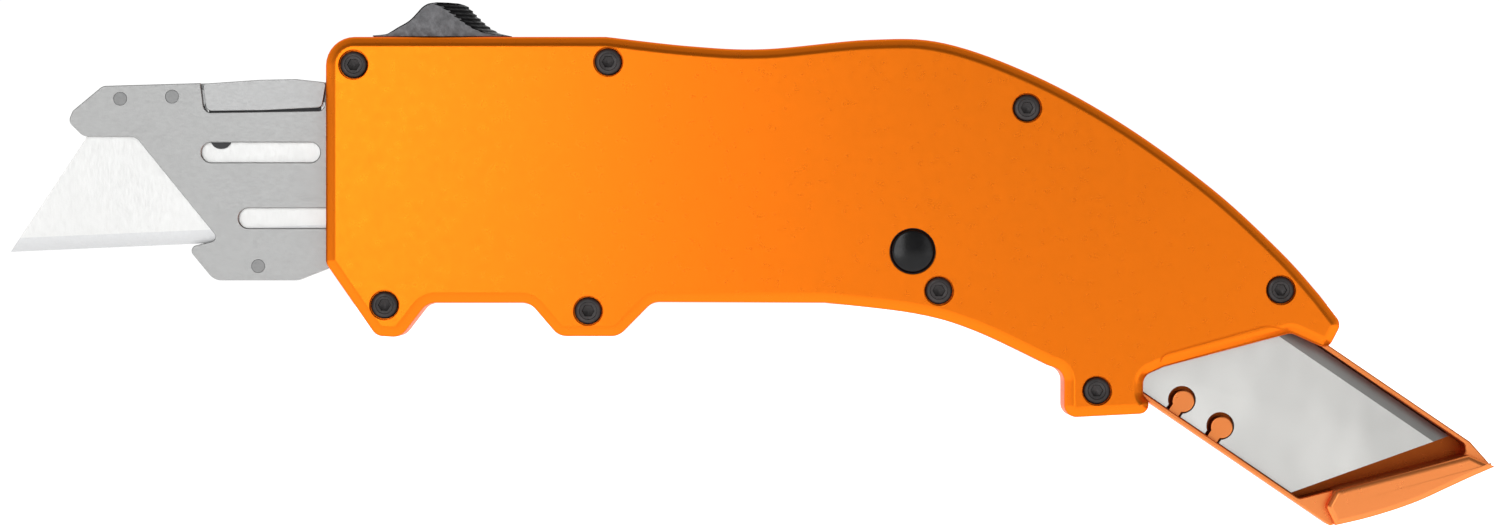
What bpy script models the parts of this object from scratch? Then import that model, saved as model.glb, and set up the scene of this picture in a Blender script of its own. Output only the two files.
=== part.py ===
"""Out-the-front utility knife with a spare-blade tray.

Sizes below are in millimetres and are turned into metres where a mesh is made. X runs along the handle to the
tail, Z is up towards the spine, and Y is the thickness: the back cover's flat face is Y = 0 and the front cover's
face is Y = -handle_thickness.
"""

from math import acos, atan2, cos, pi, radians, sin, tan

import bmesh
import bpy

MM = 0.001

# Handle
drawn_length = 140.4
handle_length = 140.4
handle_left = -59.0
handle_thickness = 13.0
edge_round = 1.1
seam_gap = 0.1
stretch_from = -20.0
stretch_to = 25.0

# Blade, standard trapezoid
blade_length = 61.0
blade_width = 19.0
blade_thickness = 0.6
blade_end_angle = 54.0
blade_bevel = 1.9
blade_tilt = 2.5
blade_tip = (-103.5, -10.0)
notch_radius = 1.95
notch_neck = 1.2
notch_spacing = 6.5
notch_depth = 4.05

# Carrier
carrier_plate = 0.9
layer_gap = 0.1
rivet_radius = 0.95
carrier_clear = 0.3
carrier_travel = 45.0
slide_travel = 18.0

# Spare-blade tray
tray_angle = 34.3
tray_low = 5.75
tray_width = 20.7
tray_wall = 0.7
tray_floor = 1.0
tray_wall_top = 6.6
tray_clear = 0.3
tray_closed = 29.2
spare_count = 5
peg_radius = 1.55
spare_pitch = 0.72
spare_end = 101.0
cap_base = 100.1
back_wall = 1.8

# Fasteners and button
screw_head_radius = 1.9
screw_head_height = 1.1
screw_recess = 0.45
screw_shank_radius = 0.9
screw_length = 9.5
screw_clear = 0.15
screw_places = ((-55.1, 16.0), (-19.7, 16.4), (38.5, 10.0), (73.75, -15.3),
                (48.2, -29.3), (26.25, -15.4), (-22.5, -18.2), (-50.8, -17.4))
button_place = (22.6, -9.9)
button_radius = 3.05
button_flange = 3.6
button_travel = 0.8
button_clear = 0.15
button_skin = 1.0
flange_height = 0.4
stem_radius = 0.9

# Thumb slide
slide_left = -52.6
slide_length = 19.3
slide_width = 7.0
slide_height = 4.8
stem_left = -45.0
stem_length = 5.0
stem_width = 3.2

mid = -handle_thickness / 2
down_tray = (cos(radians(tray_angle)), -sin(radians(tray_angle)))
across_tray = (sin(radians(tray_angle)), cos(radians(tray_angle)))


def along(x):
    """Where a drawn X lies once the handle's straight middle has taken up a change of length."""
    share = (x - stretch_from) / (stretch_to - stretch_from)
    return x + (handle_length - drawn_length) * min(max(share, 0.0), 1.0)


def tail(point):
    return (point[0] + handle_length - drawn_length, point[1])


def tray_point(u, v, shift=0.0):
    """A point given along and across the tray, moved out by shift."""
    u += shift
    return tail((u * down_tray[0] + v * across_tray[0], u * down_tray[1] + v * across_tray[1]))


def tray_shape(points, shift=0.0):
    return [tray_point(u, v, shift) for u, v in points]


def clear_scene():
    for obj in list(bpy.data.objects):
        bpy.data.objects.remove(obj, do_unlink=True)


def material(name, colour, roughness, metallic):
    made = bpy.data.materials.new(name)
    made.use_nodes = True
    shader = made.node_tree.nodes["Principled BSDF"]
    shader.inputs["Base Color"].default_value = (*colour, 1.0)
    shader.inputs["Roughness"].default_value = roughness
    shader.inputs["Metallic"].default_value = metallic
    return made


finishes = {
    "orange": ((0.85, 0.22, 0.02), 0.38, 0.8),
    "steel": ((0.55, 0.55, 0.53), 0.35, 1.0),
    "blade": ((0.85, 0.85, 0.84), 0.22, 1.0),
    "black": ((0.02, 0.02, 0.022), 0.45, 0.6),
    "spring": ((0.2, 0.2, 0.21), 0.4, 1.0),
}


def make_object(name, mesh_data, finish, origin=(0.0, 0.0, 0.0)):
    """Puts a bmesh in millimetres into the scene in metres, with its origin on the given point."""
    bmesh.ops.recalc_face_normals(mesh_data, faces=mesh_data.faces)
    bmesh.ops.translate(mesh_data, verts=mesh_data.verts, vec=[-value for value in origin])
    bmesh.ops.scale(mesh_data, verts=mesh_data.verts, vec=(MM, MM, MM))
    mesh = bpy.data.meshes.new(name)
    mesh_data.to_mesh(mesh)
    mesh_data.free()
    obj = bpy.data.objects.new(name, mesh)
    obj.location = [value * MM for value in origin]
    bpy.context.scene.collection.objects.link(obj)
    if finish:
        mesh.materials.append(material(name, *finishes[finish]))
    return obj


def lofted(rings):
    """A closed bmesh from rings of equally many points, capped at both ends."""
    made = bmesh.new()
    loops = [[made.verts.new(point) for point in ring] for ring in rings]
    count = len(loops[0])
    for low, high in zip(loops, loops[1:]):
        for i in range(count):
            j = (i + 1) % count
            made.faces.new((low[i], low[j], high[j], high[i]))
    made.faces.new(loops[0][::-1])
    made.faces.new(loops[-1])
    return made


def prism(outline, y_front, y_back):
    return lofted([[(x, y, z) for x, z in outline] for y in (y_front, y_back)])


def circle(centre, radius, steps=24):
    return [(centre[0] + radius * cos(2 * pi * i / steps), centre[1] + radius * sin(2 * pi * i / steps))
            for i in range(steps)]


def box(x0, x1, z0, z1):
    return [(x0, z0), (x1, z0), (x1, z1), (x0, z1)]


def turned(centre, profile, steps=24):
    """A solid turned about the Y axis through centre, from (radius, y) pairs."""
    return lofted([[(x, y, z) for x, z in circle(centre, radius, steps)] for radius, y in profile])


def area(outline):
    return sum(a[0] * b[1] - b[0] * a[1] for a, b in zip(outline, outline[1:] + outline[:1])) / 2


def rounded(corners, inset=0.0, steps=5):
    """An outline from (x, z, radius) corners, drawn inset by a distance; radius 0 keeps a plain point."""
    turn = 1 if area([corner[:2] for corner in corners]) > 0 else -1
    moved = []
    for before, here, after in zip(corners[-1:] + corners[:-1], corners, corners[1:] + corners[:1]):
        first = atan2(here[1] - before[1], here[0] - before[0])
        second = atan2(after[1] - here[1], after[0] - here[0])
        bend = (second - first + pi) % (2 * pi) - pi
        reach = turn * inset / cos(bend / 2)
        normal = first + bend / 2 + pi / 2
        radius = here[2] and max(here[2] - turn * inset * (1 if bend > 0 else -1), 0.05)
        moved.append((here[0] + reach * cos(normal), here[1] + reach * sin(normal), radius, first, bend))
    outline = []
    for x, z, radius, first, bend in moved:
        if not radius:
            outline.append((x, z))
            continue
        start = abs(radius * tan(bend / 2))
        side = 1 if bend > 0 else -1
        centre = (x - start * cos(first) - side * radius * sin(first),
                  z - start * sin(first) + side * radius * cos(first))
        for i in range(steps + 1):
            angle = first - side * pi / 2 + bend * i / steps
            outline.append((centre[0] + radius * cos(angle), centre[1] + radius * sin(angle)))
    return outline


def smooth(points, steps=3):
    """Plain points on a Catmull-Rom curve through the given ones."""
    ends = [points[0]] + points + [points[-1]]
    made = []
    for a, b, c, d in zip(ends, ends[1:], ends[2:], ends[3:]):
        for i in range(steps):
            t = i / steps
            made.append(tuple(
                (2 * b[k] + (c[k] - a[k]) * t + (2 * a[k] - 5 * b[k] + 4 * c[k] - d[k]) * t * t
                 + (3 * b[k] - a[k] - 3 * c[k] + d[k]) * t ** 3) / 2 for k in (0, 1)) + (0,))
    return made + [(points[-1][0], points[-1][1], 0)]


def cut(obj, cutter_mesh, name):
    cutter = make_object(f"{obj.name}_{name}", cutter_mesh, None)
    cutter.hide_render = True
    cutter.display_type = "WIRE"
    modifier = obj.modifiers.new(name, "BOOLEAN")
    modifier.operation = "DIFFERENCE"
    modifier.object = cutter


def joined(obj, other_mesh, name):
    other = make_object(f"{obj.name}_{name}", other_mesh, None)
    other.hide_render = True
    other.display_type = "WIRE"
    modifier = obj.modifiers.new(name, "BOOLEAN")
    modifier.operation = "UNION"
    modifier.object = other


def handle_corners():
    """The closed edge of both covers: spine, tail, the mouth that the tray's cap fills, and the lower side."""
    spine = smooth([(along(x), z) for x, z in (
        (-20.0, 19.9), (-8.3, 18.6), (2.0, 18.2), (16.7, 19.5), (27.1, 19.0), (39.6, 14.5), (52.1, 7.6),
        (64.6, -1.5), (74.0, -10.2), (79.2, -16.0))])
    lower = smooth([(along(x), z) for x, z in ((41.7, -25.9), (31.3, -21.0), (22.9, -18.6), (10.4, -17.1))])
    corners = [(handle_left, 19.9, 4.0)] + spine
    corners += [(*tail(point), radius) for *point, radius in (
        (82.3, -20.0, 1.6), (80.4, -23.6, 1.3), (75.3, -21.3, 1.5), (57.6, -26.0, 1.5), (54.7, -27.3, 1.6),
        (54.7, -30.0, 1.0), (57.4, -32.4, 1.2), (43.7, -33.1, 1.7), (43.7, -26.5, 2.1))]
    corners += lower
    corners += [(-13.6, -17.0, 2.5), (-18.3, -21.75, 2.2), (-26.6, -21.75, 2.4), (-30.6, -17.1, 2.5),
                (-44.9, -17.1, 2.5), (-48.6, -21.9, 2.2), (-52.0, -21.7, 1.8), (handle_left, -11.6, 1.5)]
    return corners


def cover_blank(y_seam, y_face):
    """One cover's outer solid, with its outer edge rounded in two steps."""
    inward = 1 if y_seam > y_face else -1
    corners = handle_corners()
    rings = [(y_seam, 0.0), (y_face + inward * edge_round, 0.0),
             (y_face + inward * edge_round * 0.293, edge_round * 0.293), (y_face, edge_round)]
    return lofted([[(x, y, z) for x, z in rounded(corners, inset)] for y, inset in rings])


carrier_half = blade_thickness / 2 + layer_gap + carrier_plate
channel_half = carrier_half + carrier_clear - 0.05
channel_low = -14.35
channel_high = 14.5
tang_end = -23.5
full_end = -52.0
jaw_end = -40.0
recess_floor = -1.9
tray_base = -(back_wall + tray_clear)
tray_ceiling = tray_base - tray_floor - tray_wall_top - tray_clear
end_run = blade_width / tan(radians(blade_end_angle))


def blade_outline():
    """The blade lying along its own edge: edge on v = 0 from u = 0, back at v = blade_width."""
    middle = blade_length / 2
    points = [(0.0, 0.0), (blade_length, 0.0), (blade_length - end_run, blade_width)]
    for side in (1, -1):
        centre = middle + side * notch_spacing / 2
        low = blade_width - notch_depth + notch_radius
        points.append((centre + notch_neck, blade_width))
        open_angle = acos(notch_neck / notch_radius)
        for i in range(13):
            angle = open_angle - (pi + 2 * open_angle) * i / 12
            points.append((centre + notch_radius * cos(angle), low + notch_radius * sin(angle)))
        points.append((centre - notch_neck, blade_width))
    return points + [(end_run, blade_width)]


def blade_solid(place, y_middle):
    """A blade with its edge ground from both faces. place turns blade (u, v) into (x, z)."""
    half = blade_thickness / 2
    body = [(u, v) for u, v in blade_outline() if v > 0]
    run = blade_bevel / tan(radians(blade_end_angle))
    body = [(run, blade_bevel), (blade_length - run, blade_bevel)] + body
    made = bmesh.new()
    faces = []
    for y in (y_middle - half, y_middle + half):
        faces.append([made.verts.new((place(u, v)[0], y, place(u, v)[1])) for u, v in body])
    edge = [made.verts.new((place(u, 0)[0], y_middle, place(u, 0)[1])) for u in (0.0, blade_length)]
    front, back = faces
    count = len(body)
    made.faces.new(front)
    made.faces.new(back[::-1])
    for i in range(1, count):
        j = (i + 1) % count
        made.faces.new((front[i], back[i], back[j], front[j]))
    made.faces.new((front[0], edge[0], edge[1], front[1]))
    made.faces.new((back[1], edge[1], edge[0], back[0]))
    made.faces.new((front[1], edge[1], back[1]))
    made.faces.new((back[0], edge[0], front[0]))
    return made


def fitted(u, v):
    """The fitted blade's place in the carrier: tip down in front, its edge rising slightly to the tail."""
    tilt = radians(blade_tilt)
    return (blade_tip[0] + u * cos(tilt) - v * sin(tilt), blade_tip[1] + u * sin(tilt) + v * cos(tilt))


def make_covers():
    front = make_object("front_cover", cover_blank(mid - seam_gap / 2, -handle_thickness), "orange")
    back = make_object("back_cover", cover_blank(mid + seam_gap / 2, 0.0), "orange")
    far = blade_width + handle_length
    channel = [(handle_left - 9, channel_low), (jaw_end + carrier_travel + 0.5, channel_low),
               (jaw_end + carrier_travel + 0.5, -9.1), (tang_end + carrier_travel + 0.4, -9.1),
               (tang_end + carrier_travel + 0.4, 9.5), (full_end + carrier_travel + 0.5, 9.5),
               (full_end + carrier_travel + 0.5, channel_high), (handle_left - 9, channel_high)]
    slope = 1 / tan(radians(blade_end_angle))
    tray_path = [(spare_end - blade_length - tray_closed - tray_clear - 1.3, tray_low + tray_width + tray_clear),
                 (spare_end - blade_length + tray_width * slope - tray_closed - tray_clear - 1.3, tray_low - tray_clear),
                 (far, tray_low - tray_clear), (far, tray_low + tray_width + tray_clear)]
    for cover, outer, name in ((front, -handle_thickness, "front"), (back, 0.0, "back")):
        deep = mid + (-channel_half if cover is front else channel_half)
        past = mid + (1 if cover is front else -1)
        cut(cover, prism(channel, *sorted((deep, past))), "channel")
        deep = tray_ceiling if cover is front else -back_wall
        cut(cover, prism(tray_shape(tray_path), *sorted((deep, past))), "tray_path")
    spine_slot = box(stem_left - 0.4, stem_left + stem_length + slide_travel + 0.4, channel_high - 1, 24.0)
    cut(front, prism(spine_slot, mid - stem_width / 2 - 0.3, mid + 1), "spine_slot")
    cut(back, prism(spine_slot, mid - 1, mid + stem_width / 2 + 0.3), "spine_slot")
    # Two shallower tracks behind the carrier: one for the spring and its hooks, one for the shuttle's arm.
    spring_track = box(-58.0, tang_end + carrier_travel + 0.6, 0.2, 8.8)
    cut(back, prism(spring_track, mid, recess_floor), "spring_track")
    shuttle_track = box(stem_left - 0.4, tang_end + slide_travel + 0.6, 7.0, 17.2)
    cut(back, prism(shuttle_track, mid, -3.3), "shuttle_track")
    for i, place in enumerate(screw_places):
        centre = (along(place[0]), place[1])
        head = screw_head_radius + screw_clear
        cut(front, turned(centre, ((head, -handle_thickness - 1),
                                   (head, -handle_thickness + screw_recess + screw_head_height + 0.15))),
            f"counterbore_{i + 1}")
        low = -handle_thickness + screw_recess + screw_head_height + screw_length + screw_clear
        for cover, y0, y1 in ((front, -handle_thickness + 1, mid + 1), (back, mid - 1, low)):
            cut(cover, turned(centre, ((screw_shank_radius + 0.1, y0), (screw_shank_radius + 0.1, y1)), 16),
                f"screw_hole_{i + 1}")
    centre = tail(button_place)
    skin = -handle_thickness + button_skin
    cut(front, turned(centre, ((button_radius + button_clear, -handle_thickness - 1),
                               (button_radius + button_clear, mid)), 32), "button_hole")
    cut(front, turned(centre, ((button_flange + button_clear, skin), (button_flange + button_clear, mid + 1)), 32),
        "button_well")


def make_screws():
    for i, place in enumerate(screw_places):
        centre = (along(place[0]), place[1])
        top = -handle_thickness + screw_recess
        under = top + screw_head_height
        screw = make_object(f"cover_screw_{i + 1}", turned(centre, (
            (screw_head_radius - 0.25, top), (screw_head_radius, top + 0.25), (screw_head_radius, under),
            (screw_shank_radius, under), (screw_shank_radius, under + screw_length)), 20), "black")
        cut(screw, turned(centre, ((0.8, top - 0.5), (0.8, top + 0.7)), 6), "socket")


def plate_corners():
    """The carrier plate's edge: nose, top, the step down to the tang, lower jaw and the blade's window."""
    return [(-95.3, 8.2, 0.8), (-94.7, 9.7, 0.8), (-90.5, 13.2, 1.5), (-76.4, 13.6, 0), (-59.0, 13.75, 0),
            (full_end, 13.75, 0.8), (full_end, 8.6, 0), (tang_end, 8.6, 0.8), (tang_end, -8.4, 0.8),
            (jaw_end, -8.4, 0), (jaw_end, -12.2, 0.8), (-58.6, -12.2, 0), (-63.2, -14.0, 2.5),
            (-74.9, -14.0, 2.2), (-78.7, -9.4, 0.8), (-74.2, -8.3, 0.7), (-85.9, 6.1, 1.6), (-93.2, 6.1, 1.6)]


rivet_places = ((-88.05, 11.4), (-80.8, 11.7), (-68.75, -12.0), (-34.0, 5.5), (-34.0, -6.8))
lever_pivot_place = (-68.0, 11.75)
hook_places = (-56.6, tang_end - 1.7)
post_height = 1.6


def make_carrier():
    half = blade_thickness / 2
    layers = {"carrier_front_plate": mid - half - layer_gap - carrier_plate, "carrier_back_plate": mid + half + layer_gap}
    plates = {}
    for name, y in layers.items():
        plates[name] = make_object(name, prism(rounded(plate_corners(), steps=4), y, y + carrier_plate), "steel")
    front, back = plates.values()
    y0, y1 = mid - carrier_half - 1, mid + carrier_half + 1
    for plate in (front, back):
        cut(plate, prism(rounded([(-76.7, 2.5, 1.35), (-60.1, 2.5, 1.35), (-60.1, 5.3, 1.35), (-76.7, 5.3, 1.35)]),
                         y0, y1), "upper_slot")
        cut(plate, prism(rounded([(-71.5, -6.7, 1.35), (-47.0, -6.7, 1.35), (-47.0, -3.9, 1.35),
                                  (-71.5, -3.9, 1.35)]), y0, y1), "lower_slot")
    cut(front, prism(rounded([(-77.0, 15.0, 0), (-76.3, 9.45, 1.1), (-59.6, 9.72, 0.9), (-58.6, 15.0, 0)]), y0, mid),
        "lever_cut")
    cut(front, prism(box(-75.7, -72.3, 4.0, 9.4), mid - half - layer_gap - 0.5, mid), "spring_pocket")
    corner = fitted(end_run, blade_width)
    nose = make_object("nose_spacer", prism(rounded([
        (-94.3, 8.5, 0.4), (-90.4, 12.4, 1.0), (-79.6, 12.9, 0.4), (-79.6, fitted(24, blade_width)[1] + 0.35, 0),
        (corner[0] - 0.4, corner[1] + 0.3, 0), (corner[0] - 2.2, corner[1] - 2.55, 0)]), mid - half, mid + half),
        "steel")
    rear = fitted(blade_length, 0.0)
    rear_back = fitted(blade_length - end_run, blade_width)
    tang = make_object("tang_spacer", prism(rounded([
        (-74.6, -13.0, 1.2), (-64.2, -13.2, 0), (-59.0, -11.6, 0), (jaw_end - 0.5, -11.6, 0.5),
        (jaw_end - 0.5, -7.9, 0), (tang_end - 0.5, -7.9, 0.4), (tang_end - 0.5, 8.1, 0.4),
        (rear_back[0] + 3.0, 8.1, 0), (rear[0] + 0.6, rear[1] - 0.5, 0), (-74.0, fitted(29, 0)[1] - 0.5, 0.4)]),
        mid - half, mid + half), "steel")
    for i, place in enumerate(rivet_places):
        make_object(f"carrier_rivet_{i + 1}", turned(place, ((rivet_radius, mid - carrier_half),
                                                            (rivet_radius, mid + carrier_half)), 16), "spring")
        for plate in (front, back, nose if i < 2 else tang):
            cut(plate, turned(place, ((rivet_radius + 0.08, y0), (rivet_radius + 0.08, y1)), 16), f"rivet_{i + 1}")
    make_object("utility_blade", blade_solid(fitted, mid), "blade")
    spring_y = mid - half - layer_gap
    make_object("blade_retainer_spring", prism(rounded([
        (-75.5, 9.2, 0), (-75.5, 4.4, 1.4), (-72.5, 4.4, 1.4), (-72.5, 9.2, 0)]), spring_y - 0.35, spring_y), "spring")
    make_lever(back, half)
    make_drive_spring(back)


def make_lever(back, half):
    """A rocker in the front plate's cut-out; its tooth lies a layer deeper, in the blade's notch."""
    pivot = (lever_pivot_place[0], mid, lever_pivot_place[1])
    y_front = mid - half - layer_gap - carrier_plate + 0.1
    notch = fitted(blade_length / 2 - notch_spacing / 2, blade_width)
    lever = make_object("blade_release_lever", prism(rounded([
        (-76.45, 13.5, 0.5), (-75.9, 9.75, 0.9), (-68.0, 9.87, 0), (-60.2, 10.25, 0.7), (-59.9, 13.75, 0.5),
        (-63.5, 14.15, 2.0), (-68.5, 14.05, 2.0)]),
        y_front, mid - half - 0.03), "steel", pivot)
    joined(lever, prism([(notch[0] - 0.7, notch[1] - 0.35), (notch[0] + 0.5, notch[1] - 0.35),
                         (notch[0] + 0.9, notch[1] + 0.5), (-71.4, 11.0), (-71.4, 12.9),
                         (notch[0] - 0.9, 12.6)], mid - half - 0.07, mid + half), "tooth")
    hole = ((0.68, y_front - 1), (0.68, mid + carrier_half + 1))
    cut(lever, turned(lever_pivot_place, hole, 16), "pivot_hole")
    cut(back, turned(lever_pivot_place, hole, 16), "pivot_hole")
    make_object("lever_pivot", turned(lever_pivot_place, ((0.6, y_front), (0.6, mid + carrier_half)), 16), "spring")
    make_object("lever_spring", prism([(-70.3, 12.6), (-64.0, 12.3), (-56.0, 11.9), (-56.0, 12.3), (-64.0, 12.7),
                                       (-70.3, 13.0)], mid - half + 0.15, mid + half), "spring")


def helix(x0, x1, centre_y, centre_z, radius, wire, turns, sides=6):
    """A wire wound about the X axis, as one closed tube."""
    steps = turns * 10
    rings = []
    for i in range(steps + 1):
        angle = 2 * pi * turns * i / steps
        ring = []
        for j in range(sides):
            spin = 2 * pi * j / sides
            reach = radius + wire * cos(spin)
            ring.append((x0 + (x1 - x0) * i / steps + wire * sin(spin), centre_y + reach * cos(angle),
                         centre_z + reach * sin(angle)))
        rings.append(ring)
    return lofted(rings)


def make_drive_spring(back):
    y_spring = recess_floor - 1.5
    for name, x in zip(("front", "rear"), hook_places):
        hook = make_object(f"spring_hook_{name}", prism(rounded([
            (x - 0.9, 0.6, 0.2), (x + 0.9, 0.6, 0.2), (x + 0.9, 7.3, 0.2), (x - 0.9, 7.3, 0.2)], steps=2),
            y_spring - 1.2, y_spring + 1.1), "spring")
        hole = ((0.5, mid), (0.5, 0.0))
        cut(hook, turned((x, post_height), hole, 12), "post_hole")
        cut(back, turned((x, post_height), hole, 12), "post_hole_" + name)
        make_object(f"hook_post_{name}", turned((x, post_height), ((0.42, mid + blade_thickness / 2 + layer_gap),
                                                                   (0.42, y_spring + 1.1)), 12), "spring")
    make_object("main_spring", helix(hook_places[0] + 1.4, hook_places[1] - 1.4, y_spring, 4.0, 1.0, 0.2, 14),
                "spring")


def slide_profile():
    """The thumb slide from the side: a thin toe, a ramp to a flat crest, then a ribbed ramp down to the heel."""
    base = 20.05
    rise = [(0.0, 0.15), (1.8, 0.3), (3.5, 1.25), (5.3, 2.35), (7.0, 4.1), (8.0, 4.6), (9.0, 4.8), (12.1, 4.7)]
    ribs = 7
    for i in range(ribs):
        at = 12.9 + 4.6 * i / ribs
        low = 4.4 - 3.7 * i / ribs
        rise += [(at, low), (at + 0.5, low - 0.1)]
    rise += [(17.9, 0.5), (slide_length, 0.15)]
    outline = [(slide_left, base)] + [(slide_left + dx, base + dz * slide_height / 4.8) for dx, dz in rise]
    return outline + [(slide_left + slide_length, base)]


def make_slide():
    slide = make_object("thumb_slide", prism(slide_profile(), mid - slide_width / 2, mid + slide_width / 2), "black")
    stem = box(stem_left, stem_left + stem_length, 14.95, 20.5)
    joined(slide, prism(stem, mid - stem_width / 2, mid + stem_width / 2 - 0.9), "stem")
    # The shuttle is a flat bracket that hangs behind the carrier, with a block that catches the spring's hooks.
    y0 = mid + stem_width / 2 - 0.6 + 0.4
    arm = [(stem_left, 16.6), (stem_left, 7.8), (tang_end - 0.1, 7.8), (tang_end - 0.1, 9.8),
           (stem_left + stem_length, 9.8), (stem_left + stem_length, 16.6)]
    shuttle = make_object("slide_shuttle", prism(arm, y0, y0 + 0.9), "spring")
    block = hook_places[1] - 1.3
    joined(shuttle, prism(box(block - 2.0, block, 5.8, 8.4), y0, -2.4), "catch")
    pin = (stem_left + stem_length / 2, 15.8)
    hole = ((0.55, mid - 4), (0.55, 0.0))
    cut(slide, turned(pin, hole, 12), "pin_hole")
    cut(shuttle, turned(pin, hole, 12), "pin_hole")
    make_object("shuttle_pin", turned(pin, ((0.47, mid - stem_width / 2 + 0.1), (0.47, y0 + 0.9)), 12), "spring")


def make_locks():
    """Leaf springs pinned in the back cover: each tip stands in the carrier's way at one end of its travel."""
    shapes = {"rear_lock_spring": [(tang_end + 0.4, 6.9), (tang_end + 1.2, 6.9), (tang_end + 1.4, 9.0), (-9.0, 13.4),
                                   (-8.2, 13.4), (-8.2, 14.1), (-9.3, 14.1), (tang_end + 0.4, 9.5)],
              "front_lock_spring": [(-20.0, -10.0), (-19.2, -10.0), (-19.0, -11.6), (-9.0, -13.3), (-8.2, -13.3),
                                    (-8.2, -14.0), (-9.3, -14.0), (-20.0, -12.2)]}
    for name, outline in shapes.items():
        make_object(name, prism(outline, mid - 0.8, mid + 0.8), "spring")


def make_button():
    centre = tail(button_place)
    face = -handle_thickness + 0.12
    skin = -handle_thickness + button_skin + button_clear
    under = skin + flange_height
    place = (centre[0], face, centre[1])
    button = turned(centre, ((button_radius - 0.3, face), (button_radius, face + 0.3), (button_radius, skin),
                             (button_flange, skin), (button_flange, under), (stem_radius, under),
                             (stem_radius, tray_ceiling + 1.2)), 32)
    make_object("tray_release_button", button, "black", place)
    seat = under + button_travel + 0.15
    make_object("button_spring", turned_ring(centre, stem_radius + 0.3, stem_radius + 0.8, under + 0.1, seat - 0.1),
                "spring")
    make_object("button_retainer", turned_ring(centre, stem_radius + 0.25, button_flange - 0.1, seat, seat + 0.3),
                "spring")


def turned_ring(centre, inner, outer, y0, y1, steps=24):
    """A washer or a plain coil's outer shape, turned about the Y axis through centre."""
    made = bmesh.new()
    loops = []
    for radius, y in ((inner, y0), (outer, y0), (outer, y1), (inner, y1)):
        loops.append([made.verts.new((x, y, z)) for x, z in circle(centre, radius, steps)])
    for low, high in zip(loops, loops[1:] + loops[:1]):
        for i in range(steps):
            j = (i + 1) % steps
            made.faces.new((low[i], low[j], high[j], high[i]))
    return made


def cap_outline():
    """The cap seen from the front: a straight inner edge, a bowed outer edge, and a small tongue at the low side."""
    high = tray_low + tray_width
    bow = [(-5.8, 6.2), (-3.2, 9.0), (-0.4, 12.4), (1.9, 15.6), (3.9, 18.9), (6.0, 22.4), (7.9, high - 1.05)]
    edge = [(4.0, high - 1.75), (-8.6, 10.3), (-8.5, 7.6)]
    return tray_shape([(cap_base + u, v) for u, v in edge + bow])


def make_tray():
    high = tray_low + tray_width
    end = spare_end - blade_length
    slope = 1 / tan(radians(blade_end_angle))
    outer = [(end - 1.3, high), (end - 1.3 + tray_width * slope, tray_low), (cap_base - 6.1, tray_low),
             (cap_base + 7.8, high - 1.1), (cap_base + 3.4, high)]
    top = tray_base - tray_floor - tray_wall_top
    tray = make_object("storage_tray", prism(tray_shape(outer), top, tray_base), "orange")
    inner_low, inner_high = tray_low + tray_wall, high - tray_wall
    inside = [(end - 0.4, inner_high), (end - 0.4 + (inner_high - inner_low) * slope, inner_low),
              (cap_base - 11.8, inner_low), (cap_base + 4.5, inner_high)]
    cut(tray, prism(tray_shape(inside), top - 1, tray_base - tray_floor), "well")
    joined(tray, prism(cap_outline(), -handle_thickness + 0.1, -0.1), "cap")
    # A round peg stands in each notch of the spare blades, on a web that reaches it from the low side wall.
    back = high - tray_wall - 0.15 - blade_width
    for name, side in (("tail", -1), ("nose", 1)):
        at = end + blade_length / 2 + side * notch_spacing / 2 + 0.2
        centre = tray_point(at, back + notch_depth - notch_radius - 0.1)
        y0, y1 = top + 1.9, tray_base - tray_floor / 2
        joined(tray, turned(centre, ((peg_radius, y0), (peg_radius, y1)), 28), f"peg_{name}")
        web = [(at - 1.0, tray_low + tray_wall / 2), (at + 0.6, tray_low + tray_wall / 2), (at + 0.6, back + 1.8),
               (at - 1.0, back + 1.8)]
        joined(tray, prism(tray_shape(web), y0 + 0.03, y1 - 0.03), f"web_{name}")
    for i in range(spare_count):
        y = tray_base - tray_floor - 0.1 - blade_thickness / 2 - i * spare_pitch
        make_object(f"spare_blade_{i + 1}", blade_solid(spare, y), "blade")
    # The latch is a leaf riveted to the tray's low side wall; its tip lies under the button when the tray is shut.
    latch_u = button_along() + tray_closed
    leaf = [(latch_u - 1.0, tray_low - 2.0), (latch_u + 1.0, tray_low - 2.0), (latch_u + 3.0, tray_low - 0.5),
            (latch_u + 8.0, tray_low - 0.5), (latch_u + 8.0, tray_low - 0.15), (latch_u - 1.0, tray_low - 0.15)]
    leaf_y = tray_base - tray_floor - 2.0
    make_object("tray_latch_spring", prism(tray_shape(leaf), leaf_y - 1.5, leaf_y), "spring")
    cut_latch_track(latch_u, leaf_y)


def button_along():
    return button_place[0] * down_tray[0] + button_place[1] * down_tray[1]


def cut_latch_track(latch_u, leaf_y):
    """A groove beside the tray's path that the latch leaf runs in."""
    low = tray_low - 2.4
    track = [(button_along() - 1.5, low), (latch_u + 1.4, low), (latch_u + 3.4, tray_low - 0.9),
             (latch_u + 60.0, tray_low - 0.9), (latch_u + 60.0, tray_low + 1), (button_along() - 1.5, tray_low + 1)]
    for name in ("front_cover", "back_cover"):
        cut(bpy.data.objects[name], prism(tray_shape(track), leaf_y - 1.9, leaf_y + 0.3), "latch_track")


def spare(u, v):
    """The spare blade's place in the tray: its back along the low side wall, its edge along the high one."""
    return tray_point(spare_end - blade_length + u, tray_low + tray_width - tray_wall - 0.15 - v)


clear_scene()
make_covers()
make_screws()
make_carrier()
make_slide()
make_locks()
make_button()
make_tray()
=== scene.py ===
from math import cos, pi, radians, sin, tan

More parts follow.
